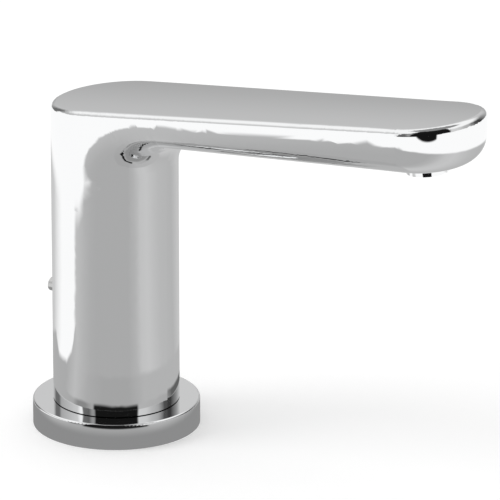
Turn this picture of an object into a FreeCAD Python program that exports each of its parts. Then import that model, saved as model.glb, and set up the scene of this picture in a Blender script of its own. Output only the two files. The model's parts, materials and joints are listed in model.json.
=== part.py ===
import FreeCAD, Part
import math
import os
import Sketcher
from FreeCAD import Placement, Rotation, Vector

# Deck-mounted bath spout. Z = 0 is the deck, the Z axis is the column's axis, and the arm runs along +X.
# Lengths are in millimetres and angles in degrees.

doc = FreeCAD.newDocument("bath_spout")
sizes = doc.addObject("Spreadsheet::Sheet", "Sizes")

DRIVING = {
    # Shell of column and arm.
    "column_radius": 26.5,
    "column_wall": 3.3,
    "column_foot_gap": 0.3,
    "top_height": 143.7,
    "top_tilt": 7.74,
    "top_crown_radius": 700,
    "arm_root_depth": 16.3,
    "underside_tilt": 5.77,
    "elbow_radius": 16,
    "nose_reach": 156,
    "nose_radius": 23.8,
    "bowl_root_depth": 16,
    "bowl_nose_depth": 17.5,
    "bowl_exponent": 3.3,
    "taper_ease_in": 20,
    "taper_ease_out": 15,
    "wall_fan_angle": 42,
    "wall_fan_settling": 30,
    "arm_wall_height": 30,
    "top_edge_round": 2.5,
    "arm_wall": 2.5,
    # Base flange and the seals round its bore.
    "flange_radius": 35.1,
    "flange_thickness": 11,
    "flange_edge_round": 0.8,
    "flange_sink_depth": 4,
    "deck_seal_inner_radius": 20,
    "deck_seal_margin": 4.1,
    "deck_seal_depth": 2,
    "collar_seal_thickness": 1,
    # Shank: threaded tail, collar and spigot.
    "thread_radius": 13.2,
    "shank_tail": 62,
    "shank_bore_radius": 8,
    "inlet_radius": 9.3,
    "inlet_depth": 15,
    "collar_radius": 18,
    "collar_thickness": 6,
    "spigot_radius": 14,
    "spigot_top_height": 84,
    "cut_overrun": 2,
    # Clearances.
    "running_clearance": 0.05,
    "ring_clearance": 0.03,
    "loose_clearance": 0.3,
    # Rings on the spigot.
    "o_ring_groove_depth": 2.2,
    "o_ring_groove_height": 3,
    "lower_o_ring_drop": 17.5,
    "upper_o_ring_drop": 10.5,
    "slide_ring_depth": 1.4,
    "slide_ring_width": 4,
    "lower_slide_ring_rise": 10,
    "upper_slide_ring_drop": 4.5,
    "swivel_washer_thickness": 2.5,
    "swivel_washer_radius": 22.5,
    # Retaining screw and the groove that its dog runs in.
    "screw_drop": 30,
    "screw_radius": 2.95,
    "screw_length": 16,
    "screw_stand_out": 7,
    "screw_key_width": 3,
    "screw_key_depth": 3,
    "dog_radius": 2,
    "dog_length": 4,
    "dog_groove_angle": 150,
    # Socket sleeve.
    "sleeve_waist_radius": 18,
    "sleeve_foot_band": 8,
    "sleeve_screw_band": 18,
    "sleeve_cap_band": 12,
    "sleeve_cap_thickness": 8,
    "sleeve_chamber_height": 2,
    # Waterway tube and its rings.
    "tube_radius": 4,
    "tube_wall": 0.8,
    "tube_bend_radius": 20,
    "tube_seat_depth": 5,
    "tube_lift": 9.4,
    "tube_port_depth": 3,
    "tube_ring_radius": 0.7,
    # Outlet socket.
    "socket_radius": 11.5,
    "socket_neck_radius": 9.2,
    "socket_height": 17.5,
    "socket_roof": 3,
    "socket_chamber_radius": 7,
    # Aerator.
    "aerator_thread_radius": 8,
    "aerator_thread_height": 4.1,
    "aerator_rim_radius": 8.6,
    "aerator_rim_drop": 2.2,
    "aerator_lip_radius": 6.2,
    "aerator_lip_thickness": 1.6,
    "aerator_slot_width": 2.4,
    "aerator_slot_depth": 1,
    "cartridge_radius": 6.85,
    "screen_thickness": 0.9,
    "aerator_seal_inner_radius": 6.3,
    "aerator_seal_thickness": 1.2,
    "insert_hole_radius": 0.75,
    "insert_hole_pitch": 2.3,
    "screen_hole_radius": 0.5,
    "screen_hole_pitch": 1.6,
    # Clamping parts under the deck.
    "deck_thickness": 20,
    "gasket_radius": 27,
    "gasket_thickness": 3,
    "clamp_washer_radius": 26,
    "clamp_washer_thickness": 2,
    "nut_across_flats": 38,
    "nut_height": 10,
}

DERIVED = {
    "column_bore_radius": "column_radius - column_wall",
    "column_foot": "flange_thickness + column_foot_gap",
    "underside_root_height": "top_height - arm_root_depth",
    "nose_foot_height": "underside_root_height + nose_reach * tan(underside_tilt)",
    "flange_bore_radius": "thread_radius + loose_clearance",
    "flange_sink_radius": "collar_radius + loose_clearance",
    "flange_sink_floor": "flange_thickness - flange_sink_depth",
    "deck_seal_outer_radius": "flange_radius - deck_seal_margin",
    "seal_groove_inner_radius": "deck_seal_inner_radius - running_clearance",
    "seal_groove_outer_radius": "deck_seal_outer_radius + running_clearance",
    "collar_foot": "flange_sink_floor + collar_seal_thickness",
    "collar_top": "collar_foot + collar_thickness",
    "shank_foot": "0 - shank_tail",
    "inlet_roof": "shank_foot + inlet_depth",
    "screw_height": "spigot_top_height - screw_drop",
    "sleeve_bore_radius": "spigot_radius + running_clearance",
    "sleeve_foot": "collar_top + swivel_washer_thickness",
    "sleeve_foot_band_top": "sleeve_foot + sleeve_foot_band",
    "sleeve_screw_band_foot": "screw_height - sleeve_screw_band / 2",
    "sleeve_screw_band_top": "screw_height + sleeve_screw_band / 2",
    "sleeve_chamber_top": "spigot_top_height + sleeve_chamber_height",
    "sleeve_top": "sleeve_chamber_top + sleeve_cap_thickness",
    "sleeve_cap_band_foot": "sleeve_top - sleeve_cap_band",
    "tube_foot": "sleeve_top - tube_seat_depth",
    "tube_bore_radius": "tube_radius - tube_wall",
    "tube_fit_radius": "tube_radius + running_clearance",
    "tube_ring_centre_radius": "tube_radius + tube_ring_radius",
    "tube_ring_groove_radius": "tube_radius + 2 * tube_ring_radius",
    "tube_ring_height": "tube_foot + tube_seat_depth / 2",
    "tube_ring_groove_foot": "tube_ring_height - tube_ring_radius",
    "tube_ring_groove_top": "tube_ring_height + tube_ring_radius",
    "tube_line_height": "underside_root_height + tube_lift / cos(underside_tilt)",
    "tube_bend_run": "tube_bend_radius * tan(45 - underside_tilt / 2)",
    "tube_bend_foot": "tube_line_height - tube_bend_run",
    "tube_bend_end_reach": "tube_bend_run * cos(underside_tilt)",
    "tube_bend_end_height": "tube_line_height + tube_bend_run * sin(underside_tilt)",
    "tube_stop_radius": "socket_radius - tube_port_depth",
    "tube_ring_seat_depth": "tube_port_depth - tube_ring_radius",
    "tube_end_reach": "nose_reach - tube_lift * sin(underside_tilt) - tube_stop_radius * cos(underside_tilt)",
    "tube_end_height": "tube_line_height + tube_end_reach * tan(underside_tilt)",
    "tube_outlet_ring_reach": "nose_reach - tube_lift * sin(underside_tilt)"
                              " - (socket_radius - tube_ring_seat_depth + tube_ring_radius) * cos(underside_tilt)",
    "tube_outlet_ring_height": "tube_line_height + tube_outlet_ring_reach * tan(underside_tilt)",
    "o_ring_groove_floor": "spigot_radius - o_ring_groove_depth",
    "o_ring_cord_radius": "(spigot_radius + running_clearance - ring_clearance - o_ring_groove_floor) / 2",
    "o_ring_centre_radius": "o_ring_groove_floor + o_ring_cord_radius",
    "lower_o_ring_height": "spigot_top_height - lower_o_ring_drop",
    "upper_o_ring_height": "spigot_top_height - upper_o_ring_drop",
    "lower_o_ring_groove_foot": "lower_o_ring_height - o_ring_groove_height / 2",
    "lower_o_ring_groove_top": "lower_o_ring_height + o_ring_groove_height / 2",
    "upper_o_ring_groove_foot": "upper_o_ring_height - o_ring_groove_height / 2",
    "upper_o_ring_groove_top": "upper_o_ring_height + o_ring_groove_height / 2",
    "slide_ring_floor": "spigot_radius - slide_ring_depth",
    "slide_ring_inner_radius": "slide_ring_floor + ring_clearance",
    "slide_ring_outer_radius": "spigot_radius + running_clearance - ring_clearance",
    "lower_slide_ring_height": "collar_top + lower_slide_ring_rise",
    "upper_slide_ring_height": "spigot_top_height - upper_slide_ring_drop",
    "lower_slide_ring_foot": "lower_slide_ring_height - slide_ring_width / 2",
    "lower_slide_ring_top": "lower_slide_ring_height + slide_ring_width / 2",
    "upper_slide_ring_foot": "upper_slide_ring_height - slide_ring_width / 2",
    "upper_slide_ring_top": "upper_slide_ring_height + slide_ring_width / 2",
    "swivel_washer_inner_radius": "spigot_radius + loose_clearance",
    "screw_hole_radius": "screw_radius + running_clearance",
    "screw_outer_end": "column_radius + screw_stand_out",
    "screw_inner_end": "screw_outer_end - screw_length",
    "dog_shoulder": "screw_inner_end + dog_length",
    "dog_groove_floor": "column_radius - screw_length - loose_clearance",
    "dog_groove_foot": "screw_height - dog_radius - loose_clearance",
    "dog_groove_top": "screw_height + dog_radius + loose_clearance",
    "socket_seat_radius": "socket_radius + loose_clearance",
    "neck_hole_radius": "socket_neck_radius + running_clearance",
    "socket_bore_radius": "aerator_thread_radius + running_clearance",
    "socket_shoulder": "aerator_thread_height + aerator_seal_thickness",
    "socket_chamber_top": "socket_height - socket_roof",
    "aerator_seal_outer_radius": "aerator_thread_radius - running_clearance",
    "housing_bore_radius": "cartridge_radius + running_clearance",
    "rim_foot": "0 - aerator_rim_drop",
    "lip_top": "rim_foot + aerator_lip_thickness",
    "slot_top": "rim_foot + aerator_slot_depth",
    "screen_foot": "aerator_thread_height - screen_thickness",
    "insert_hole_ring_1": "insert_hole_pitch",
    "insert_hole_ring_2": "2 * insert_hole_pitch",
    "screen_hole_ring_1": "screen_hole_pitch",
    "screen_hole_ring_2": "2 * screen_hole_pitch",
    "screen_hole_ring_3": "3 * screen_hole_pitch",
    "slot_half_width": "aerator_slot_width / 2",
    "key_half_flats": "screw_key_width / 2",
    "key_corner": "screw_key_width / sqrt(3)",
    "key_half_corner": "key_corner / 2",
    "gasket_top": "0 - deck_thickness",
    "gasket_foot": "gasket_top - gasket_thickness",
    "clamp_bore_radius": "thread_radius + loose_clearance",
    "clamp_washer_foot": "gasket_foot - clamp_washer_thickness",
    "nut_bore_radius": "thread_radius + running_clearance",
    "nut_foot": "clamp_washer_foot - nut_height",
    "nut_half_flats": "nut_across_flats / 2",
    "nut_corner": "nut_across_flats / sqrt(3)",
    "nut_half_corner": "nut_corner / 2",
    "elbow_axis_reach": "column_radius + elbow_radius",
    "elbow_axis_height": "underside_root_height + elbow_axis_reach * tan(underside_tilt)"
                         " - elbow_radius / cos(underside_tilt)",
    "roof_height": "top_height - arm_wall / cos(top_tilt)",
    "skin_height": "top_height + elbow_radius / 4",
    "cutter_span": "3 * (nose_reach + nose_radius)",
}

for row, (name, size) in enumerate(list(DRIVING.items()) + list(DERIVED.items()), start=1):
    sizes.set("A%d" % row, name)
    sizes.set("B%d" % row, str(size) if name in DRIVING else "=" + size)
    sizes.setAlias("B%d" % row, name)
doc.recompute()


def size(name):
    """The value of a named size. A name after a minus sign gives the negative, and "0" is zero."""
    if name == "0":
        return 0.0
    if name.startswith("-"):
        return -size(name[1:])
    return float(sizes.get(name))


def cell(name):
    """The expression that follows a named size."""
    return "-Sizes." + name[1:] if name.startswith("-") else "Sizes." + name


def origin_plane(body, role):
    return next(part for part in body.Origin.OriginFeatures if part.Role == role)


def new_body(label):
    body = doc.addObject("PartDesign::Body", label)
    body.Label = label
    return body


def new_sketch(body, role, level="0"):
    """A sketch on one of the body's own planes, or parallel to it at a named level."""
    sketch = body.newObject("Sketcher::SketchObject", body.Name + "_sketch")
    sketch.AttachmentSupport = [(origin_plane(body, role), "")]
    sketch.MapMode = "FlatFace"
    if level != "0":
        sketch.AttachmentOffset = Placement(Vector(0, 0, size(level)), Rotation())
        sketch.setExpression(".AttachmentOffset.Base.z", cell(level))
    return sketch


def pin_point(sketch, geometry, vertex, across, up):
    """Hold one point of a sketch at named distances from its origin."""
    for kind, axis, name in (("DistanceX", -2, across), ("DistanceY", -1, up)):
        if name == "0":
            sketch.addConstraint(Sketcher.Constraint("PointOnObject", geometry, vertex, axis))
        else:
            rule = Sketcher.Constraint(kind, -1, 1, geometry, vertex, size(name))
            index = sketch.addConstraint(rule)
            sketch.setExpression("Constraints[%d]" % index, cell(name))


def add_outline(sketch, corners):
    """A closed outline of straight lines through corners given by the names of their two sizes."""
    points = [Vector(size(across), size(up), 0) for across, up in corners]
    first = sketch.GeometryCount
    for start, end in zip(points, points[1:] + points[:1]):
        sketch.addGeometry(Part.LineSegment(start, end))
    count = len(corners)
    for index in range(count):
        following = first + (index + 1) % count
        sketch.addConstraint(Sketcher.Constraint("Coincident", first + index, 2, following, 1))
    for index, (across, up) in enumerate(corners):
        pin_point(sketch, first + index, 1, across, up)


def add_circle(sketch, radius, across="0", up="0"):
    circle = Part.Circle(Vector(size(across), size(up), 0), Vector(0, 0, 1), size(radius))
    geometry = sketch.addGeometry(circle)
    pin_point(sketch, geometry, 3, across, up)
    index = sketch.addConstraint(Sketcher.Constraint("Radius", geometry, size(radius)))
    sketch.setExpression("Constraints[%d]" % index, cell(radius))


def turned(label, corners):
    """A body turned about its own Z axis from an outline of radii and heights."""
    body = new_body(label)
    sketch = new_sketch(body, "XZ_Plane")
    add_outline(sketch, corners)
    turn = body.newObject("PartDesign::Revolution", label + "_turning")
    turn.Profile = sketch
    turn.ReferenceAxis = (sketch, ["V_Axis"])
    turn.Angle = 360
    doc.recompute()
    return body


def ring_outline(inner, outer, foot, top):
    return [(inner, foot), (outer, foot), (outer, top), (inner, top)]


def rounded(body, label, radius, height, rounding):
    """Round the circular edge of a turned body that has the given radius and height."""
    base = body.Tip
    names = []
    for index, edge in enumerate(base.Shape.Edges, start=1):
        circle = edge.Curve
        if not isinstance(circle, Part.Circle) or not math.isclose(circle.Radius, size(radius)):
            continue
        if math.isclose(circle.Center.z, size(height), abs_tol=1e-6):
            names.append("Edge%d" % index)
    fillet = body.newObject("PartDesign::Fillet", label)
    fillet.Base = (base, names)
    fillet.Radius = size(rounding)
    fillet.setExpression("Radius", cell(rounding))
    doc.recompute()


def pocket(body, sketch, label, depth=None, backward=False):
    """Cut a sketch into its body, to a named depth or through everything, and check that it cut."""
    before = body.Shape.Volume
    cut = body.newObject("PartDesign::Pocket", label)
    cut.Profile = sketch
    cut.Reversed = backward
    if depth:
        cut.Length = size(depth)
        cut.setExpression("Length", cell(depth))
    else:
        cut.Type = "ThroughAll"
    doc.recompute()
    if body.Shape.Volume >= before:
        raise ValueError(label + " cuts nothing")
    return cut


def tilted_to_underside(body):
    """Stand a body on the underside of the arm, at the nose's axis."""
    place = Vector(size("nose_reach"), 0, size("nose_foot_height"))
    body.Placement = Placement(place, Rotation(Vector(0, -1, 0), size("underside_tilt")))
    body.setExpression(".Placement.Base.x", cell("nose_reach"))
    body.setExpression(".Placement.Base.z", cell("nose_foot_height"))
    body.setExpression(".Placement.Rotation.Angle", cell("underside_tilt"))
    return body


def torus(label, ring_radius, cord_radius, height):
    ring = doc.addObject("Part::Torus", label)
    ring.setExpression("Radius1", cell(ring_radius))
    ring.setExpression("Radius2", cell(cord_radius))
    ring.setExpression(".Placement.Base.z", cell(height))
    return ring


def base_flange():
    body = turned("base_flange", [
        ("flange_bore_radius", "0"),
        ("seal_groove_inner_radius", "0"),
        ("seal_groove_inner_radius", "deck_seal_depth"),
        ("seal_groove_outer_radius", "deck_seal_depth"),
        ("seal_groove_outer_radius", "0"),
        ("flange_radius", "0"),
        ("flange_radius", "flange_thickness"),
        ("flange_sink_radius", "flange_thickness"),
        ("flange_sink_radius", "flange_sink_floor"),
        ("flange_bore_radius", "flange_sink_floor"),
    ])
    rounded(body, "flange_top_round", "flange_radius", "flange_thickness", "flange_edge_round")
    return body


def deck_seal():
    outline = ring_outline("deck_seal_inner_radius", "deck_seal_outer_radius", "0", "deck_seal_depth")
    return turned("deck_seal", outline)


def collar_seal():
    return turned("collar_seal", ring_outline(
        "flange_bore_radius", "collar_radius", "flange_sink_floor", "collar_foot"))


def grooved(outer, floor, foot, top):
    """Four corners of a groove in an outline that runs upwards along an outer radius."""
    return [(outer, foot), (floor, foot), (floor, top), (outer, top)]


def shank():
    outline = [
        ("inlet_radius", "shank_foot"),
        ("thread_radius", "shank_foot"),
        ("thread_radius", "collar_foot"),
        ("collar_radius", "collar_foot"),
        ("collar_radius", "collar_top"),
        ("spigot_radius", "collar_top"),
    ]
    for ring, floor in (("lower_slide_ring", "slide_ring_floor"),
                        ("lower_o_ring_groove", "o_ring_groove_floor"),
                        ("upper_o_ring_groove", "o_ring_groove_floor"),
                        ("upper_slide_ring", "slide_ring_floor")):
        outline += grooved("spigot_radius", floor, ring + "_foot", ring + "_top")
    outline += [
        ("spigot_radius", "spigot_top_height"),
        ("shank_bore_radius", "spigot_top_height"),
        ("shank_bore_radius", "inlet_roof"),
        ("inlet_radius", "inlet_roof"),
    ]
    body = turned("shank", outline)
    # The dog of the retaining screw runs in a part-round groove at the back, whose ends stop the swivel.
    sketch = new_sketch(body, "XZ_Plane")
    add_outline(sketch, [
        ("-dog_groove_floor", "dog_groove_foot"),
        ("-sleeve_bore_radius", "dog_groove_foot"),
        ("-sleeve_bore_radius", "dog_groove_top"),
        ("-dog_groove_floor", "dog_groove_top"),
    ])
    before = body.Shape.Volume
    groove = body.newObject("PartDesign::Groove", "dog_groove")
    groove.Profile = sketch
    groove.ReferenceAxis = (sketch, ["V_Axis"])
    groove.Midplane = True
    groove.setExpression("Angle", cell("dog_groove_angle"))
    doc.recompute()
    if body.Shape.Volume >= before:
        raise ValueError("the dog's groove cuts nothing")
    return body


def slide_ring(label):
    return turned(label, ring_outline(
        "slide_ring_inner_radius", "slide_ring_outer_radius", label + "_foot", label + "_top"))


def swivel_washer():
    return turned("swivel_washer", ring_outline(
        "swivel_washer_inner_radius", "swivel_washer_radius", "collar_top", "sleeve_foot"))


def socket_sleeve():
    body = turned("socket_sleeve", [
        ("sleeve_bore_radius", "sleeve_foot"),
        ("column_bore_radius", "sleeve_foot"),
        ("column_bore_radius", "sleeve_foot_band_top"),
        ("sleeve_waist_radius", "sleeve_foot_band_top"),
        ("sleeve_waist_radius", "sleeve_screw_band_foot"),
        ("column_bore_radius", "sleeve_screw_band_foot"),
        ("column_bore_radius", "sleeve_screw_band_top"),
        ("sleeve_waist_radius", "sleeve_screw_band_top"),
        ("sleeve_waist_radius", "sleeve_cap_band_foot"),
        ("column_bore_radius", "sleeve_cap_band_foot"),
        ("column_bore_radius", "sleeve_top"),
        ("tube_fit_radius", "sleeve_top"),
        ("tube_fit_radius", "tube_ring_groove_top"),
        ("tube_ring_groove_radius", "tube_ring_groove_top"),
        ("tube_ring_groove_radius", "tube_ring_groove_foot"),
        ("tube_fit_radius", "tube_ring_groove_foot"),
        ("tube_fit_radius", "tube_foot"),
        ("tube_bore_radius", "tube_foot"),
        ("tube_bore_radius", "sleeve_chamber_top"),
        ("sleeve_bore_radius", "sleeve_chamber_top"),
    ])
    sketch = new_sketch(body, "YZ_Plane")
    add_circle(sketch, "screw_hole_radius", "0", "screw_height")
    pocket(body, sketch, "sleeve_screw_hole")
    return body


def waterway_tube():
    body = new_body("waterway_tube")
    section = new_sketch(body, "XY_Plane", "tube_foot")
    add_circle(section, "tube_radius")
    add_circle(section, "tube_bore_radius")
    path = new_sketch(body, "XZ_Plane")
    foot = Vector(0, size("tube_foot"), 0)
    bend_foot = Vector(0, size("tube_bend_foot"), 0)
    centre = Vector(size("tube_bend_radius"), size("tube_bend_foot"), 0)
    bend_end = Vector(size("tube_bend_end_reach"), size("tube_bend_end_height"), 0)
    end = Vector(size("tube_end_reach"), size("tube_end_height"), 0)
    bend_circle = Part.Circle(centre, Vector(0, 0, 1), size("tube_bend_radius"))
    turn = 90 + size("underside_tilt")
    path.addGeometry(Part.LineSegment(foot, bend_foot))
    path.addGeometry(Part.ArcOfCircle(bend_circle, math.radians(turn), math.pi))
    path.addGeometry(Part.LineSegment(bend_end, end))
    path.addConstraint(Sketcher.Constraint("Coincident", 0, 2, 1, 2))
    path.addConstraint(Sketcher.Constraint("Coincident", 1, 1, 2, 1))
    pin_point(path, 0, 1, "0", "tube_foot")
    pin_point(path, 0, 2, "0", "tube_bend_foot")
    pin_point(path, 2, 1, "tube_bend_end_reach", "tube_bend_end_height")
    pin_point(path, 2, 2, "tube_end_reach", "tube_end_height")
    rule = Sketcher.Constraint("DistanceX", -1, 1, 1, 3, size("tube_bend_radius"))
    index = path.addConstraint(rule)
    path.setExpression("Constraints[%d]" % index, cell("tube_bend_radius"))
    pipe = body.newObject("PartDesign::AdditivePipe", "tube_run")
    pipe.Profile = section
    pipe.Spine = path
    doc.recompute()
    return body


def outlet_socket():
    body = turned("outlet_socket", [
        ("socket_bore_radius", "0"),
        ("socket_neck_radius", "0"),
        ("socket_neck_radius", "arm_wall"),
        ("socket_radius", "arm_wall"),
        ("socket_radius", "socket_height"),
        ("0", "socket_height"),
        ("0", "socket_chamber_top"),
        ("socket_chamber_radius", "socket_chamber_top"),
        ("socket_chamber_radius", "socket_shoulder"),
        ("socket_bore_radius", "socket_shoulder"),
    ])
    # The tube's seat, a recess for the ring round it and the narrower waterway behind it are cut from the side
    # that faces the column.
    seat = new_sketch(body, "YZ_Plane", "-socket_radius")
    add_circle(seat, "tube_fit_radius", "0", "tube_lift")
    pocket(body, seat, "tube_seat", "tube_port_depth", backward=True)
    recess = new_sketch(body, "YZ_Plane", "-socket_radius")
    add_circle(recess, "tube_ring_groove_radius", "0", "tube_lift")
    pocket(body, recess, "tube_ring_recess", "tube_ring_seat_depth", backward=True)
    way = new_sketch(body, "YZ_Plane", "-socket_radius")
    add_circle(way, "tube_bore_radius", "0", "tube_lift")
    pocket(body, way, "tube_way", "socket_radius", backward=True)
    return tilted_to_underside(body)


def aerator_housing():
    body = turned("aerator_housing", [
        ("aerator_lip_radius", "rim_foot"),
        ("aerator_rim_radius", "rim_foot"),
        ("aerator_rim_radius", "0"),
        ("aerator_thread_radius", "0"),
        ("aerator_thread_radius", "aerator_thread_height"),
        ("housing_bore_radius", "aerator_thread_height"),
        ("housing_bore_radius", "lip_top"),
        ("aerator_lip_radius", "lip_top"),
    ])
    # A slot across the rim takes a coin.
    slot = new_sketch(body, "XY_Plane", "rim_foot")
    add_outline(slot, [
        ("-aerator_rim_radius", "-slot_half_width"),
        ("aerator_rim_radius", "-slot_half_width"),
        ("aerator_rim_radius", "slot_half_width"),
        ("-aerator_rim_radius", "slot_half_width"),
    ])
    pocket(body, slot, "rim_slot", "aerator_slot_depth", backward=True)
    return tilted_to_underside(body)


def perforated_disc(label, foot, top, hole, rings):
    """A disc with one hole in the middle, six in the first ring round it, twelve in the second and so on."""
    body = turned(label, [
        ("0", foot),
        ("cartridge_radius", foot),
        ("cartridge_radius", top),
        ("0", top),
    ])
    sketch = new_sketch(body, "XY_Plane", top)
    add_circle(sketch, hole + "_radius")
    pocket(body, sketch, label + "_middle_hole")
    for ring in range(1, rings + 1):
        sketch = new_sketch(body, "XY_Plane", top)
        add_circle(sketch, hole + "_radius", "%s_ring_%d" % (hole, ring), "0")
        first = pocket(body, sketch, "%s_hole_%d" % (label, ring))
        pattern = body.newObject("PartDesign::PolarPattern", "%s_ring_%d" % (label, ring))
        pattern.Originals = [first]
        pattern.Axis = (sketch, ["N_Axis"])
        pattern.Angle = 360
        pattern.Occurrences = 6 * ring
        body.Tip = pattern
        doc.recompute()
    return tilted_to_underside(body)


def aerator_insert():
    return perforated_disc("aerator_insert", "lip_top", "screen_foot", "insert_hole", 2)


def aerator_screen():
    return perforated_disc("aerator_screen", "screen_foot", "aerator_thread_height", "screen_hole", 3)


def aerator_seal():
    return tilted_to_underside(turned("aerator_seal", ring_outline(
        "aerator_seal_inner_radius", "aerator_seal_outer_radius",
        "aerator_thread_height", "socket_shoulder")))


def hexagon(half_flats, corner, half_corner):
    """The corners of a hexagon from the names of half its width and of its corners' two distances."""
    return [
        (corner, "0"),
        (half_corner, half_flats),
        ("-" + half_corner, half_flats),
        ("-" + corner, "0"),
        ("-" + half_corner, "-" + half_flats),
        (half_corner, "-" + half_flats),
    ]


def retaining_screw():
    """Turned along its own axis with the dog at the inner end, then laid pointing out of the back."""
    body = turned("retaining_screw", [
        ("0", "screw_inner_end"),
        ("dog_radius", "screw_inner_end"),
        ("dog_radius", "dog_shoulder"),
        ("screw_radius", "dog_shoulder"),
        ("screw_radius", "screw_outer_end"),
        ("0", "screw_outer_end"),
    ])
    key = new_sketch(body, "XY_Plane", "screw_outer_end")
    add_outline(key, hexagon("key_half_flats", "key_corner", "key_half_corner"))
    pocket(body, key, "screw_key", "screw_key_depth")
    body.Placement = Placement(Vector(0, 0, size("screw_height")), Rotation(Vector(0, -1, 0), 90))
    body.setExpression(".Placement.Base.z", cell("screw_height"))
    return body


def clamp_gasket():
    return turned("clamp_gasket", ring_outline(
        "clamp_bore_radius", "gasket_radius", "gasket_foot", "gasket_top"))


def clamp_washer():
    return turned("clamp_washer", ring_outline(
        "clamp_bore_radius", "clamp_washer_radius", "clamp_washer_foot", "gasket_foot"))


def backnut():
    body = new_body("backnut")
    flats = new_sketch(body, "XY_Plane", "nut_foot")
    add_outline(flats, hexagon("nut_half_flats", "nut_corner", "nut_half_corner"))
    pad = body.newObject("PartDesign::Pad", "nut_flats")
    pad.Profile = flats
    pad.setExpression("Length", cell("nut_height"))
    doc.recompute()
    bore = new_sketch(body, "XY_Plane", "clamp_washer_foot")
    add_circle(bore, "nut_bore_radius")
    pocket(body, bore, "nut_bore")
    return body


# Shell of the column and arm. Its skin is a round column whose front runs through an elbow into a bowl-shaped
# arm. The elbow's sections fan out from an axis along Y, and the arm's go on from there until the last is upright.

COLUMN_STEPS = 12
COLUMN_GRADING = 1.5
FAN_STEPS = 14
ARM_STEPS = 14
POINTS_PER_HALF = 36
FINE_STEPS = 400
PLAIN_ROUND = 2


def ease(share):
    """A smooth rise from 0 to 1."""
    share = min(max(share, 0.0), 1.0)
    return share * share * (3 - 2 * share)


def tapered_travel(reach):
    """How far the taper has run at a reach: it starts and ends gently, so that the sides flow on."""
    ease_in = size("taper_ease_in")
    ease_out = size("taper_ease_out")
    late = size("nose_reach") - ease_out
    reach = max(reach, 0.0)
    travel = reach * reach / (2 * ease_in) if reach < ease_in else reach - ease_in / 2
    if reach > late:
        travel -= (reach - late) ** 2 / (2 * ease_out)
    return travel


def half_width(reach):
    """Half the arm's width in plan at a distance from the column's axis."""
    drop = size("column_radius") - size("nose_radius")
    return size("column_radius") - drop * tapered_travel(reach) / tapered_travel(size("nose_reach"))


def evenly_spaced(points, count):
    """Points at equal steps along a fine polyline."""
    lengths = [0.0]
    for start, end in zip(points, points[1:]):
        lengths.append(lengths[-1] + math.dist(start, end))
    spaced = []
    index = 0
    for step in range(count + 1):
        target = lengths[-1] * step / count
        while index < len(points) - 2 and lengths[index + 1] < target:
            index += 1
        share = (target - lengths[index]) / (lengths[index + 1] - lengths[index])
        start, end = points[index], points[index + 1]
        spaced.append((start[0] + share * (end[0] - start[0]), start[1] + share * (end[1] - start[1])))
    return spaced


def section_curve(foot, outward, depth, exponent, wall, back, inset=0.0):
    """A closed section: a bowl, then straight side walls, then a half-round back.

    foot is the lowest point and outward the direction from there to the back. depth is the height from the foot
    to the widest point, wall the height where the back begins, and back the height of that half-round. inset
    gives the section of the hollow inside.
    """
    widest = half_width((foot + outward * depth).x) - inset
    half = []
    for step in range(FINE_STEPS):
        angle = math.pi / 2 * step / FINE_STEPS
        across = widest * math.sin(angle) ** (2 / exponent)
        half.append((across, inset + (depth - inset) * (1 - math.cos(angle) ** (2 / exponent))))
    for step in range(FINE_STEPS):
        half.append((widest, depth + (wall - depth) * step / FINE_STEPS))
    for step in range(FINE_STEPS + 1):
        angle = math.pi / 2 * step / FINE_STEPS
        half.append((widest * math.cos(angle), wall + (back - inset) * math.sin(angle)))
    spaced = evenly_spaced(half, POINTS_PER_HALF)
    right = [foot + outward * up + Vector(0, across, 0) for across, up in spaced]
    left = [foot + outward * up + Vector(0, -across, 0) for across, up in spaced[1:-1]]
    points = right + left[::-1]
    shares = [step / len(points) for step in range(len(points) + 1)]
    curve = Part.BSplineCurve()
    curve.interpolate(Points=points, PeriodicFlag=True, Parameters=shares)
    return curve


def elbow_section(share):
    """The section at a share of the elbow's turn, from the round column to the arm's bowl.

    At first the wall ends in the plane X = 0 and the back is the column's own. Above the sloping top both settle
    to fixed heights.
    """
    turn = math.radians(90 - size("underside_tilt")) * share
    fan = math.radians(size("wall_fan_angle"))
    settling = math.radians(size("wall_fan_settling"))
    outward = Vector(-math.cos(turn), 0, math.sin(turn))
    axis = Vector(size("elbow_axis_reach"), 0, size("elbow_axis_height"))
    depth = size("column_radius") + (size("bowl_root_depth") - size("column_radius")) * ease(share)
    exponent = PLAIN_ROUND + (size("bowl_exponent") - PLAIN_ROUND) * ease(share)
    past = min(max(turn - fan, 0.0), settling)
    stretch = 1 / math.cos(min(turn, fan) + past - past * past / (2 * settling))
    settled = ease((turn - fan) / (math.radians(90) - fan))
    wall = (size("elbow_axis_reach") * stretch - size("elbow_radius")) * (1 - settled)
    wall += size("arm_wall_height") * settled
    back = size("column_radius") * stretch
    return axis + outward * size("elbow_radius"), outward, depth, exponent, wall, back


def arm_section(share):
    """The section at a share of the arm's length, from the elbow to the nose's axis, where it stands upright."""
    start, _, _, exponent, wall, back = elbow_section(1)
    nose = Vector(size("nose_reach"), 0, size("nose_foot_height"))
    lean = math.radians(size("underside_tilt")) * (1 - ease(share))
    depth = size("bowl_root_depth") + (size("bowl_nose_depth") - size("bowl_root_depth")) * ease(share)
    upward = Vector(-math.sin(lean), 0, math.cos(lean))
    return start + (nose - start) * share, upward, depth, exponent, wall, back


def arm_sections(inset=0.0):
    """The arm's section curves, closer together where it meets the elbow and the nose."""
    shares = [(1 - math.cos(math.pi * step / ARM_STEPS)) / 2 for step in range(ARM_STEPS + 1)]
    return [section_curve(*arm_section(share), inset) for share in shares]


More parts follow.
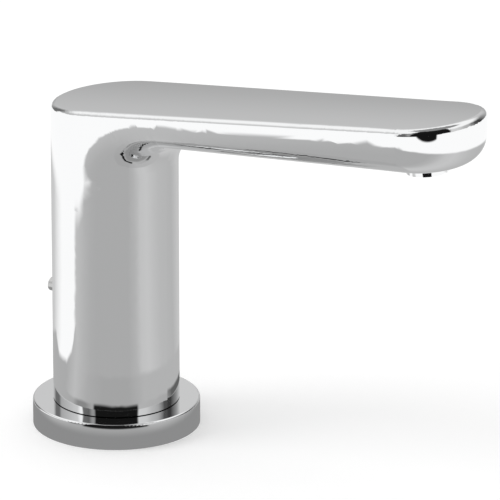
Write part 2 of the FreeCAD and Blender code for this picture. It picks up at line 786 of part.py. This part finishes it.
def nose_solid(inset=0.0):
    """The nose: the right half of the arm's last section turned half a turn, then sloped like the underside."""
    curve = section_curve(*arm_section(1), inset)
    half = curve.toShape(curve.FirstParameter, (curve.FirstParameter + curve.LastParameter) / 2)
    bottom = half.valueAt(half.FirstParameter)
    top = half.valueAt(half.LastParameter)
    outline = Part.Wire([half, Part.LineSegment(top, bottom).toShape()])
    level_nose = Part.Face(outline).revolve(bottom, top - bottom, -180)
    slope = FreeCAD.Matrix()
    slope.A31 = math.tan(math.radians(size("underside_tilt")))
    slope.A34 = -size("nose_reach") * slope.A31
    return level_nose.transformGeometry(slope)


def skinned(curves):
    """A solid whose skin runs smoothly through closed section curves, which all have the same knots."""
    rows = [curve.getPoles() for curve in curves]
    lengths = [0.0]
    for here, following in zip(rows, rows[1:]):
        steps = [start.distanceToPoint(end) for start, end in zip(here, following)]
        lengths.append(lengths[-1] + sum(steps) / len(steps))
    rails = []
    for points in zip(*rows):
        rail = Part.BSplineCurve()
        rail.interpolate(Points=list(points), Parameters=lengths)
        rails.append(rail)
    section, rail = curves[0], rails[0]
    surface = Part.BSplineSurface()
    surface.buildFromPolesMultsKnots(
        [rail.getPoles() for rail in rails], section.getMultiplicities(), rail.getMultiplicities(),
        section.getKnots(), rail.getKnots(), True, False, section.Degree, rail.Degree)
    side = surface.toShape()
    ends = [edge for edge in side.Edges if not edge.isSeam(side)]
    faces = Part.Compound([side] + [Part.Face(Part.Wire([edge])) for edge in ends])
    faces.sewShape()
    return Part.Solid(faces.Shells[0])


def spout_skin():
    """Everything inside the outer surface: the column, the elbow and the arm in one run, and then the nose."""
    first = elbow_section(0)
    drop = size("elbow_axis_height") - size("column_foot")
    curves = []
    for step in range(COLUMN_STEPS, 0, -1):
        foot = first[0] - Vector(0, 0, drop * (step / COLUMN_STEPS) ** COLUMN_GRADING)
        curves.append(section_curve(foot, *first[1:]))
    curves += [section_curve(*elbow_section(step / FAN_STEPS)) for step in range(FAN_STEPS + 1)]
    return skinned(curves + arm_sections()[1:]).fuse(nose_solid())


def arm_hollow():
    """The hollow inside the arm, from the column's axis to the nose."""
    inset = size("arm_wall")
    start, upward = arm_section(0)[:2]
    root = start - Vector(start.x, 0, start.x * math.tan(math.radians(size("underside_tilt"))))
    first = section_curve(root, upward, *arm_section(0)[2:], inset)
    return skinned([first] + arm_sections(inset)).fuse(nose_solid(inset))


def crowned_top(label):
    """A wide cylinder lying along the slope. Its upper side is the arm's slightly crowned top."""
    cylinder = doc.addObject("Part::Cylinder", label)
    cylinder.setExpression("Radius", cell("top_crown_radius"))
    cylinder.setExpression("Height", cell("cutter_span"))
    cylinder.Placement = Placement(Vector(0, 0, 0), Rotation(Vector(0, 1, 0), 90 - size("top_tilt")))
    cylinder.setExpression(".Placement.Rotation.Angle", "90 - Sizes.top_tilt")
    half = "Sizes.cutter_span / 2"
    cylinder.setExpression(
        ".Placement.Base.x", "Sizes.top_crown_radius * sin(Sizes.top_tilt) - %s * cos(Sizes.top_tilt)" % half)
    cylinder.setExpression(
        ".Placement.Base.z",
        "Sizes.top_height - Sizes.top_crown_radius * cos(Sizes.top_tilt) - %s * sin(Sizes.top_tilt)" % half)
    return cylinder


def sloping_block(label, height):
    """A block whose underside is parallel to the slope of the top, at a named height."""
    block = doc.addObject("Part::Box", label)
    for side in ("Length", "Width", "Height"):
        block.setExpression(side, cell("cutter_span"))
    block.Placement = Placement(Vector(0, 0, 0), Rotation(Vector(0, -1, 0), size("top_tilt")))
    block.setExpression(".Placement.Rotation.Angle", cell("top_tilt"))
    half = "Sizes.cutter_span / 2"
    block.setExpression(".Placement.Base.x", "-%s * cos(Sizes.top_tilt)" % half)
    block.setExpression(".Placement.Base.y", "-" + half)
    block.setExpression(".Placement.Base.z", "%s - %s * sin(Sizes.top_tilt)" % (cell(height), half))
    return block


def drilled(label, radius, length, place, turn):
    """A cylinder used as a cutter, with its place and direction given as expressions and a rotation."""
    cylinder = doc.addObject("Part::Cylinder", label)
    cylinder.setExpression("Radius", cell(radius))
    cylinder.setExpression("Height", length)
    cylinder.Placement = Placement(Vector(0, 0, 0), turn)
    for axis, expression in zip("xyz", place):
        cylinder.setExpression(".Placement.Base." + axis, expression)
    return cylinder


def square_to_underside(label, radius, lift, length):
    """A cylinder used as a cutter at the nose's axis, from a lift above the arm's underside."""
    cutter = drilled(
        label, radius, length,
        ("Sizes.nose_reach - %s * sin(Sizes.underside_tilt)" % cell(lift), "0",
         "Sizes.nose_foot_height + %s * cos(Sizes.underside_tilt)" % cell(lift)),
        Rotation(Vector(0, -1, 0), size("underside_tilt")))
    cutter.setExpression(".Placement.Rotation.Angle", cell("underside_tilt"))
    return cutter


def cut_from(label, base, tool):
    cut = doc.addObject("Part::Cut", label)
    cut.Base = base
    cut.Tool = tool
    return cut


def rim_edges(shape):
    """The edges round the crowned top."""
    crown = next(face for face in shape.Faces
                 if isinstance(face.Surface, Part.Cylinder)
                 and math.isclose(face.Surface.Radius, size("top_crown_radius")))
    return [index for index, edge in enumerate(shape.Edges, start=1)
            if any(edge.isSame(side) for side in crown.Edges)]


def spout_body():
    skin = doc.addObject("Part::Feature", "spout_skin")
    skin.Shape = spout_skin()
    sloped = doc.addObject("Part::Common", "spout_under_top")
    sloped.Base = skin
    sloped.Tool = crowned_top("top_crown")
    doc.recompute()
    softened = doc.addObject("Part::Fillet", "spout_top_round")
    softened.Base = sloped
    rounding = size("top_edge_round")
    softened.Edges = [(index, rounding, rounding) for index in rim_edges(sloped.Shape)]
    bore = drilled("column_bore", "column_bore_radius", cell("skin_height"), ("0", "0", "0"), Rotation())
    hollow = doc.addObject("Part::Feature", "arm_hollow")
    hollow.Shape = arm_hollow()
    inside = doc.addObject("Part::MultiFuse", "spout_inside")
    inside.Shapes = [bore, hollow]
    cavity = cut_from("spout_cavity", inside, sloping_block("roof_cutter", "roof_height"))
    sideways = Rotation(Vector(0, -1, 0), 90)
    screw_hole = drilled(
        "screw_hole", "screw_hole_radius", "Sizes.column_radius + Sizes.cut_overrun",
        ("0", "0", cell("screw_height")), sideways)
    neck_hole = square_to_underside(
        "neck_hole", "neck_hole_radius", "-cut_overrun", "Sizes.arm_wall + 2 * Sizes.cut_overrun")
    socket_seat = square_to_underside("socket_seat", "socket_seat_radius", "arm_wall", cell("cut_overrun"))
    cuts = doc.addObject("Part::MultiFuse", "spout_cuts")
    cuts.Shapes = [cavity, screw_hole, neck_hole, socket_seat]
    shell = cut_from("spout_body", softened, cuts)
    doc.recompute()
    return shell


def o_ring(label):
    return torus(label, "o_ring_centre_radius", "o_ring_cord_radius", label + "_height")


def tube_outlet_ring():
    """The ring round the tube's end, in the recess of the outlet socket's port."""
    ring = torus("tube_outlet_ring", "tube_ring_centre_radius", "tube_ring_radius", "tube_outlet_ring_height")
    ring.Placement = Placement(ring.Placement.Base, Rotation(Vector(0, 1, 0), 90 - size("underside_tilt")))
    ring.setExpression(".Placement.Rotation.Angle", "90 - Sizes.underside_tilt")
    ring.setExpression(".Placement.Base.x", cell("tube_outlet_ring_reach"))
    return ring


def main():
    """Build every piece, check each and write each to its own file."""
    pieces = [
        base_flange(),
        deck_seal(),
        collar_seal(),
        shank(),
        o_ring("lower_o_ring"),
        o_ring("upper_o_ring"),
        slide_ring("lower_slide_ring"),
        slide_ring("upper_slide_ring"),
        swivel_washer(),
        spout_body(),
        socket_sleeve(),
        torus("tube_inlet_ring", "tube_ring_centre_radius", "tube_ring_radius", "tube_ring_height"),
        waterway_tube(),
        tube_outlet_ring(),
        outlet_socket(),
        retaining_screw(),
        aerator_housing(),
        aerator_insert(),
        aerator_screen(),
        aerator_seal(),
        clamp_gasket(),
        clamp_washer(),
        backnut(),
    ]
    doc.recompute()
    for thing in doc.Objects:
        if "Invalid" in thing.State or "Error" in thing.State:
            raise ValueError("%s failed: %s" % (thing.Name, thing.State))
    for piece in pieces:
        if piece.Shape.isNull() or not piece.Shape.isValid() or not piece.Shape.Solids:
            raise ValueError(piece.Label + " has no valid solid")
    os.makedirs("parts", exist_ok=True)
    for piece in pieces:
        piece.Shape.exportStep("parts/%s.step" % piece.Label)
        box = piece.Shape.BoundBox
        print("%-18s %d solid %9.0f mm3  z %7.2f to %7.2f" % (
            piece.Label, len(piece.Shape.Solids), piece.Shape.Volume, box.ZMin, box.ZMax))


main()
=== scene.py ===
import json
import math

import bpy
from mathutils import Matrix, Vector

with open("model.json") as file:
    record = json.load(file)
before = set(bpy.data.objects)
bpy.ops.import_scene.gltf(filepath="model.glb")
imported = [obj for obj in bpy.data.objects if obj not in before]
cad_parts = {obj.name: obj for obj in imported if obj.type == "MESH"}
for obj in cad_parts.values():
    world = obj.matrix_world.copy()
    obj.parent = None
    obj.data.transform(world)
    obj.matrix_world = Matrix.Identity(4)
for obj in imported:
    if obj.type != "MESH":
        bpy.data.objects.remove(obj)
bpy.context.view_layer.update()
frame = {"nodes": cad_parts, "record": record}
scene = bpy.context.scene

# The camera stands where the photograph was taken from. Angles in degrees, lengths in metres,
# and the lens in millimetres.
CAMERA_AZIMUTH = 35.6
CAMERA_ELEVATION = 19.42
CAMERA_DISTANCE = 2.5
CAMERA_TARGET = Vector((0.0689, 0.0, 0.08986))
CAMERA_LENS = 439.6
CAMERA_CLIP = (0.01, 50.0)

# Noises: the scale per metre, then the octaves of detail. Bumps: the depth in metres, then the
# strength.
HAZE = (18.0, 3.0)
MARKS = (900.0, 2.0)
MARKS_STRETCH = (0.15, 0.15, 4.0)
MARKS_BUMP = (0.00002, 0.4)
METAL_PATCHES = (40.0, 3.0)
GRAIN_DETAIL = 4.0
GRAIN_BUMP = (0.00003, 0.5)
MOULDED_PATCHES = (60.0, 3.0)

# Each finish: its two tints and the range of its roughness, and for the moulded ones the scale of
# the grain.
CHROME_TINTS = ((0.945, 0.95, 0.955), (0.965, 0.97, 0.975))
CHROME_ROUGHNESS = (0.012, 0.025)
METALS = {
    "bare_brass": (((0.62, 0.44, 0.19), (0.7, 0.52, 0.25)), (0.22, 0.4)),
    "copper_tube": (((0.66, 0.36, 0.22), (0.74, 0.44, 0.29)), (0.18, 0.34)),
    "plated_steel": (((0.6, 0.6, 0.6), (0.68, 0.68, 0.67)), (0.16, 0.3)),
}
MOULDED = {
    "black_rubber": (((0.02, 0.02, 0.02), (0.035, 0.035, 0.034)), (0.55, 0.75), 1400.0),
    "white_acetal": (((0.78, 0.78, 0.75), (0.83, 0.83, 0.8)), (0.35, 0.5), 900.0),
}


def grey(level):
    return (level, level, level)


def linked(tree, value, socket):
    """Feed a socket from another one, or set it to a number or a colour."""
    if isinstance(value, tuple):
        socket.default_value = (*value, 1)
    elif isinstance(value, (int, float)):
        socket.default_value = value
    else:
        tree.links.new(value, socket)


def mixed(tree, share, first, second):
    """A colour between two, which are colours or sockets, by a share."""
    mix = tree.nodes.new("ShaderNodeMix")
    mix.data_type = "RGBA"
    linked(tree, share, mix.inputs["Factor"])
    linked(tree, first, mix.inputs["A"])
    linked(tree, second, mix.inputs["B"])
    return mix.outputs["Result"]


def new_material(name):
    """A Principled material: the material, its tree and its shader."""
    material = bpy.data.materials.new(name)
    material.use_nodes = True
    tree = material.node_tree
    tree.nodes.clear()
    output = tree.nodes.new("ShaderNodeOutputMaterial")
    shader = tree.nodes.new("ShaderNodeBsdfPrincipled")
    tree.links.new(shader.outputs["BSDF"], output.inputs["Surface"])
    return material, tree, shader


def noise(tree, scale, detail, stretch=(1, 1, 1)):
    """The value of a noise that sits still on the object."""
    place = tree.nodes.new("ShaderNodeTexCoord")
    mapping = tree.nodes.new("ShaderNodeMapping")
    mapping.inputs["Scale"].default_value = stretch
    texture = tree.nodes.new("ShaderNodeTexNoise")
    texture.inputs["Scale"].default_value = scale
    texture.inputs["Detail"].default_value = detail
    tree.links.new(place.outputs["Object"], mapping.inputs["Vector"])
    tree.links.new(mapping.outputs["Vector"], texture.inputs["Vector"])
    return texture.outputs["Fac"]


def varied(tree, shader, patches, tints, fine, roughness):
    """The colour goes between two tints with the patches, the roughness with the fine noise."""
    linked(tree, mixed(tree, patches, *tints), shader.inputs["Base Color"])
    reach = tree.nodes.new("ShaderNodeMapRange")
    reach.inputs["To Min"].default_value, reach.inputs["To Max"].default_value = roughness
    linked(tree, fine, reach.inputs["Value"])
    linked(tree, reach.outputs["Result"], shader.inputs["Roughness"])


def bumped(tree, shader, height, distance, strength):
    bump = tree.nodes.new("ShaderNodeBump")
    bump.inputs["Distance"].default_value = distance
    bump.inputs["Strength"].default_value = strength
    linked(tree, height, bump.inputs["Height"])
    linked(tree, bump.outputs["Normal"], shader.inputs["Normal"])


def chrome(name):
    """Polished chrome plate with a faint haze."""
    material, tree, shader = new_material(name)
    shader.inputs["Metallic"].default_value = 1.0
    haze = noise(tree, *HAZE)
    varied(tree, shader, haze, CHROME_TINTS, haze, CHROME_ROUGHNESS)
    return material


def machined(name, tints, roughness):
    """Turned or drawn metal with fine marks across its axis."""
    material, tree, shader = new_material(name)
    shader.inputs["Metallic"].default_value = 1.0
    marks = noise(tree, *MARKS, MARKS_STRETCH)
    varied(tree, shader, noise(tree, *METAL_PATCHES), tints, marks, roughness)
    bumped(tree, shader, marks, *MARKS_BUMP)
    return material


def moulded(name, tints, roughness, grain):
    """Rubber or plastic with a fine moulded grain."""
    material, tree, shader = new_material(name)
    specks = noise(tree, grain, GRAIN_DETAIL)
    varied(tree, shader, noise(tree, *MOULDED_PATCHES), tints, specks, roughness)
    bumped(tree, shader, specks, *GRAIN_BUMP)
    return material


finishes = {"polished_chrome": chrome("polished_chrome")}
for slot, values in METALS.items():
    finishes[slot] = machined(slot, *values)
for slot, values in MOULDED.items():
    finishes[slot] = moulded(slot, *values)
for row in frame["record"]["subparts"]:
    node = frame["nodes"][row["node"]]
    node.data.materials.clear()
    node.data.materials.append(finishes[row["material_slot"]])


# Studio. The floor and the world are white to the camera, and the floor keeps the shadow. The
# chrome mirrors painted reflections instead: glossy rays see a painted grey table on the floor,
# and painted screens round it in the world, which only glossy rays see.
# Stops are an angle, in degrees from the camera's direction and to the right as seen from the
# camera, and a level of grey or, in FAR_START and EDGE, a radius. Radii are metres from the
# column's axis. A band is where a soft step starts and ends.
TO_CAMERA = CAMERA_AZIMUTH - 90
FLOOR_SIZE = 12.0
FLOOR_GREY = 0.9
# The floor's own light to the camera, which brings the lit floor up to white.
FLOOR_LIFT = 0.16

# The painted table from the base outwards: a painted shadow round the base, its near part with a
# strip that is dark towards the camera and shows in the column's foot, its far part, and white
# past the edge.
BASE_SHADOW_LEVEL = 0.27
BASE_SHADOW_BAND = (0.048, 0.06)
NEAR_ROUND = [
    (-180, 0.45), (-90, 0.42), (-68, 0.52), (-45, 0.42), (-20, 0.385), (20, 0.385), (45, 0.46),
    (180, 0.46),
]
STRIP_START_BAND = (0.058, 0.06)
STRIP_END_BAND = (0.066, 0.071)
STRIP_ROUND = [
    (-180, 0.45), (-90, 0.42), (-68, 0.4), (-60, 0.25), (-47, 0.25), (-34, 0.4), (-31, 0.01),
    (31, 0.01), (34, 0.46), (84, 0.4), (100, 0.12), (150, 0.12), (180, 0.46),
]
FAR_START = [
    (-180, 0.103), (-130, 0.13), (-115, 0.106), (-90, 0.106), (-78, 0.125), (-72, 0.16),
    (-66, 0.12), (-55, 0.103), (180, 0.103),
]
FAR_START_BAND = (-0.005, 0.005)
# The white stretch on the left, from -108 to -76, is a painted highlight that gives the column
# its bright band.
FAR_ROUND = [
    (-180, 0.55), (-140, 0.6), (-120, 0.85), (-108, 1.0), (-76, 1.0), (-71, 0.54), (-55, 0.47),
    (-43, 0.43), (-32, 0.415), (23, 0.415), (34, 0.46), (45, 0.55), (57, 0.575), (70, 0.535),
    (84, 0.495), (118, 0.463), (145, 0.56), (180, 0.55),
]
EDGE = [
    (-180, 0.4), (-90, 0.3), (-65, 0.312), (-53, 0.35), (-31, 0.383), (0, 0.404), (180, 0.404),
]
EDGE_BAND = (-0.03, 0.02)

# A dark opening towards the camera, from this far in front of the column and between two angles.
# Its sides are soft over a share of the full turn.
OPENING_LEVEL = 0.008
OPENING_BAND = (0.555, 0.575)
OPENING = (-60, 24)
OPENING_SIDE = 0.004

# The painted screens, which only glossy rays see, with their bands in degrees above the horizon.
# The wall stands round the floor, and its lower part, the skirt, is white on the left, a painted
# highlight. Both are a little darker behind at the horizon.
# Above the wall are a bright dome, with the opening in it, and a dimmer zenith.
SCREENS_BEHIND = [(-180, 0.6), (-160, 0.5), (-145, 0.15), (-128, 0.15)]
SCREENS_RIGHT = [
    (-62, 0.15), (-50, 0.12), (-44, 0.3), (-40, 0.3), (-37, OPENING_LEVEL), (39, OPENING_LEVEL),
    (42, 0.65), (57, 0.62), (70, 0.48), (84, 0.4), (100, 0.08), (118, 0.04), (144, 0.3),
    (160, 0.5), (180, 0.6),
]
# Painted highlight: the wall and the skirt are bright on the left, for the bright band on the
# chrome.
WALL_LEFT_HIGHLIGHT = [(-120, 0.4), (-97, 0.5), (-76, 0.6), (-68, 0.9), (-65, 0.9)]
WALL_ROUND = SCREENS_BEHIND + WALL_LEFT_HIGHLIGHT + SCREENS_RIGHT
SKIRT_LEFT_HIGHLIGHT = [(-122, 1.0), (-65, 1.0)]
SKIRT_ROUND = SCREENS_BEHIND + SKIRT_LEFT_HIGHLIGHT + SCREENS_RIGHT
SKIRT_TOP_BAND = (13, 18)
DUSK_ROUND = [(-180, 0.6), (-150, 1.0), (150, 1.0), (180, 0.6)]
DUSK_BAND = (2, 16)
WALL_TOP_BAND = (24, 46)
DOME_ROUND = [(-180, 0.95), (-50, 0.95), (-42, 0.01), (36, 0.01), (44, 0.95), (180, 0.95)]
ZENITH_LEVEL = 0.25
ZENITH_BAND = (60, 68)
# What the world gives to all but the camera and the mirror.
WORLD_LIGHT = 0.9

# The lamp that throws the soft shadow: metres and watts.
LAMP_PLACE = Vector((-0.9, -0.8, 1.3))
LAMP_TARGET = Vector((0.03, 0.0, 0.05))
LAMP_SIZE = 0.8
LAMP_WATTS = 6.0


def calculated(tree, operation, *values):
    node = tree.nodes.new("ShaderNodeMath")
    node.operation = operation
    for socket, value in zip(node.inputs, values):
        linked(tree, value, socket)
    return node.outputs["Value"]


def smooth(tree, value, low, high):
    """A soft step from 0 to 1 between two values."""
    step = tree.nodes.new("ShaderNodeMapRange")
    step.interpolation_type = "SMOOTHSTEP"
    linked(tree, low, step.inputs["From Min"])
    linked(tree, high, step.inputs["From Max"])
    linked(tree, value, step.inputs["Value"])
    return step.outputs["Result"]


def turn_share(angle):
    """Where an angle from the camera's direction is on the compass."""
    return 0.5 + angle / 360


def ramp(tree, share, stops):
    """A grey ramp through stops round the compass."""
    node = tree.nodes.new("ShaderNodeValToRGB")
    elements = node.color_ramp.elements
    while len(elements) > 1:
        elements.remove(elements[-1])
    elements[0].position = turn_share(stops[0][0])
    elements[0].color = (*grey(stops[0][1]), 1)
    for angle, level in stops[1:]:
        elements.new(turn_share(angle)).color = (*grey(level), 1)
    linked(tree, share, node.inputs["Fac"])
    return node.outputs["Color"]


def compass(tree, vector):
    """0 to 1 round the compass, with 0.5 towards the camera, and the vector's three parts."""
    split = tree.nodes.new("ShaderNodeSeparateXYZ")
    linked(tree, vector, split.inputs["Vector"])
    angle = calculated(tree, "ARCTAN2", split.outputs["Y"], split.outputs["X"])
    # Half a turn brings the camera's side to 0.5, and a whole one keeps the sum above 0.
    turned = calculated(
        tree, "ADD", calculated(tree, "DIVIDE", angle, 2 * math.pi), 1.5 - TO_CAMERA / 360)
    return calculated(tree, "FRACT", turned), split.outputs


def emission(tree, colour, strength=1.0):
    node = tree.nodes.new("ShaderNodeEmission")
    linked(tree, colour, node.inputs["Color"])
    linked(tree, strength, node.inputs["Strength"])
    return node.outputs["Emission"]


def painted_floor_reflection(tree):
    """The painted reflection that the chrome sees on the floor: a table with a painted shadow
    round the base.
    """
    place = tree.nodes.new("ShaderNodeTexCoord").outputs["Object"]
    share, parts = compass(tree, place)
    length = tree.nodes.new("ShaderNodeVectorMath")
    length.operation = "LENGTH"
    linked(tree, place, length.inputs[0])
    distance = length.outputs["Value"]

    near = ramp(tree, share, NEAR_ROUND)
    # Painted shadow: the painted table is darker round the base.
    painted_table = mixed(tree, smooth(tree, distance, *BASE_SHADOW_BAND), grey(BASE_SHADOW_LEVEL), near)
    past_strip = smooth(tree, distance, *STRIP_END_BAND)
    strip = mixed(tree, past_strip, ramp(tree, share, STRIP_ROUND), near)
    painted_table = mixed(tree, smooth(tree, distance, *STRIP_START_BAND), painted_table, strip)
    past_start = calculated(tree, "SUBTRACT", distance, ramp(tree, share, FAR_START))
    far = ramp(tree, share, FAR_ROUND)
    painted_table = mixed(tree, smooth(tree, past_start, *FAR_START_BAND), painted_table, far)
    past_edge = calculated(tree, "SUBTRACT", distance, ramp(tree, share, EDGE))
    painted_table = mixed(tree, smooth(tree, past_edge, *EDGE_BAND), painted_table, grey(1.0))

    bearing = math.radians(TO_CAMERA)
    forward = calculated(
        tree, "ADD", calculated(tree, "MULTIPLY", parts["X"], math.cos(bearing)),
        calculated(tree, "MULTIPLY", parts["Y"], math.sin(bearing)))
    opening = smooth(tree, forward, *OPENING_BAND)
    left, right = (turn_share(angle) for angle in OPENING)
    for low, high in ((left - OPENING_SIDE, left + OPENING_SIDE),
                      (right + OPENING_SIDE, right - OPENING_SIDE)):
        opening = calculated(tree, "MULTIPLY", opening, smooth(tree, share, low, high))
    return mixed(tree, opening, painted_table, grey(OPENING_LEVEL))


def floor_material():
    """White paper to the camera, and a painted reflection of a table to the mirror."""
    material = bpy.data.materials.new("studio_floor")
    material.use_nodes = True
    tree = material.node_tree
    tree.nodes.clear()
    output = tree.nodes.new("ShaderNodeOutputMaterial")
    diffuse = tree.nodes.new("ShaderNodeBsdfDiffuse")
    diffuse.inputs["Color"].default_value = (*grey(FLOOR_GREY), 1)
    path = tree.nodes.new("ShaderNodeLightPath")
    lift = calculated(tree, "MULTIPLY", path.outputs["Is Camera Ray"], FLOOR_LIFT)
    paper = tree.nodes.new("ShaderNodeAddShader")
    linked(tree, diffuse.outputs["BSDF"], paper.inputs[0])
    linked(tree, emission(tree, grey(1.0), lift), paper.inputs[1])
    pick = tree.nodes.new("ShaderNodeMixShader")
    linked(tree, path.outputs["Is Glossy Ray"], pick.inputs["Fac"])
    linked(tree, paper.outputs["Shader"], pick.inputs[1])
    linked(tree, emission(tree, painted_floor_reflection(tree)), pick.inputs[2])
    linked(tree, pick.outputs["Shader"], output.inputs["Surface"])
    return material


bpy.ops.mesh.primitive_plane_add(size=FLOOR_SIZE)
floor = bpy.context.object
floor.name = "studio_floor"
floor.data.materials.append(floor_material())


def painted_world_reflection(tree):
    """The painted reflection that the chrome sees above the horizon."""
    share, parts = compass(tree, tree.nodes.new("ShaderNodeTexCoord").outputs["Generated"])
    height = calculated(tree, "ARCSINE", parts["Z"])
    above_dusk, above_skirt, above_wall, overhead = (
        smooth(tree, height, *(math.radians(angle) for angle in band))
        for band in (DUSK_BAND, SKIRT_TOP_BAND, WALL_TOP_BAND, ZENITH_BAND))
    dusk = mixed(tree, above_dusk, ramp(tree, share, DUSK_ROUND), grey(1.0))
    skirt, wall, dome = (
        ramp(tree, share, stops) for stops in (SKIRT_ROUND, WALL_ROUND, DOME_ROUND))
    painted_screens = calculated(tree, "MULTIPLY", mixed(tree, above_skirt, skirt, wall), dusk)
    sky = mixed(tree, overhead, dome, grey(ZENITH_LEVEL))
    return mixed(tree, above_wall, painted_screens, sky)


def studio_world():
    """White to the camera, an even light on the object, and painted reflections of screens to the
    mirror.
    """
    world = bpy.data.worlds.new("studio")
    world.use_nodes = True
    tree = world.node_tree
    tree.nodes.clear()
    output = tree.nodes.new("ShaderNodeOutputWorld")
    path = tree.nodes.new("ShaderNodeLightPath")
    seen = mixed(
        tree, path.outputs["Is Glossy Ray"], grey(WORLD_LIGHT), painted_world_reflection(tree))
    white = mixed(tree, path.outputs["Is Camera Ray"], seen, grey(1.0))
    background = tree.nodes.new("ShaderNodeBackground")
    linked(tree, white, background.inputs["Color"])
    linked(tree, background.outputs["Background"], output.inputs["Surface"])
    return world


scene.world = studio_world()

lamp = bpy.data.lights.new("key_lamp", "AREA")
lamp.shape = "DISK"
lamp.size = LAMP_SIZE
lamp.energy = LAMP_WATTS
key = bpy.data.objects.new("key_lamp", lamp)
scene.collection.objects.link(key)
key.location = LAMP_PLACE
key.rotation_mode = "QUATERNION"
key.rotation_quaternion = (LAMP_TARGET - LAMP_PLACE).to_track_quat("-Z", "Y")
key.visible_glossy = False

azimuth, elevation = math.radians(CAMERA_AZIMUTH), math.radians(CAMERA_ELEVATION)
backward = Vector((
    math.sin(azimuth) * math.cos(elevation),
    -math.cos(azimuth) * math.cos(elevation),
    math.sin(elevation)))
camera = bpy.data.objects.new("camera", bpy.data.cameras.new("camera"))
scene.collection.objects.link(camera)
camera.location = CAMERA_TARGET + backward * CAMERA_DISTANCE
camera.rotation_mode = "QUATERNION"
camera.rotation_quaternion = (-backward).to_track_quat("-Z", "Y")
camera.data.lens = CAMERA_LENS
camera.data.clip_start, camera.data.clip_end = CAMERA_CLIP
scene.camera = camera
scene.view_settings.view_transform = "Standard"
